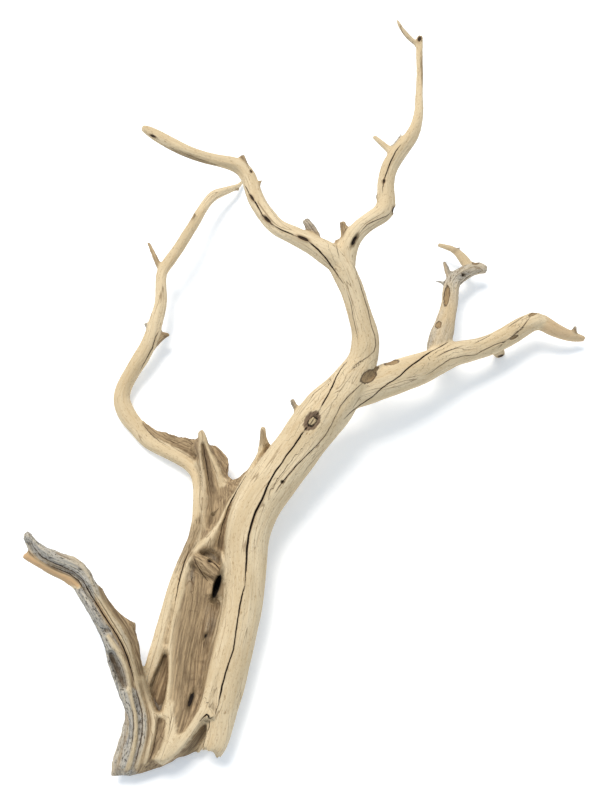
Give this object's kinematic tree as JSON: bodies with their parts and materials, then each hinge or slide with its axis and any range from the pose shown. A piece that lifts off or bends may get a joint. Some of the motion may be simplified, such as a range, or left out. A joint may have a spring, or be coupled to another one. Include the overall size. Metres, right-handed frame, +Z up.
{
  "type": "driftwood branch",
  "caption": "Pale forked driftwood branch with thin curving arms, a split hollow base and a grey weathered horn; lies flat as decor.",
  "frame": {"origin": "middle of the bounding box, on the surface the wood lies on", "axes": "+Z up, +Y from the broken base towards the thin arms, +X towards the thick side branch"},
  "size_m": [0.4426, 0.5598, 0.1649],
  "materials": {
    "weathered_wood": "matt, dry, sandblasted by water"
  },
  "bodies": {
    "root": {"driftwood": "weathered_wood"}
  },
  "joints": []
}
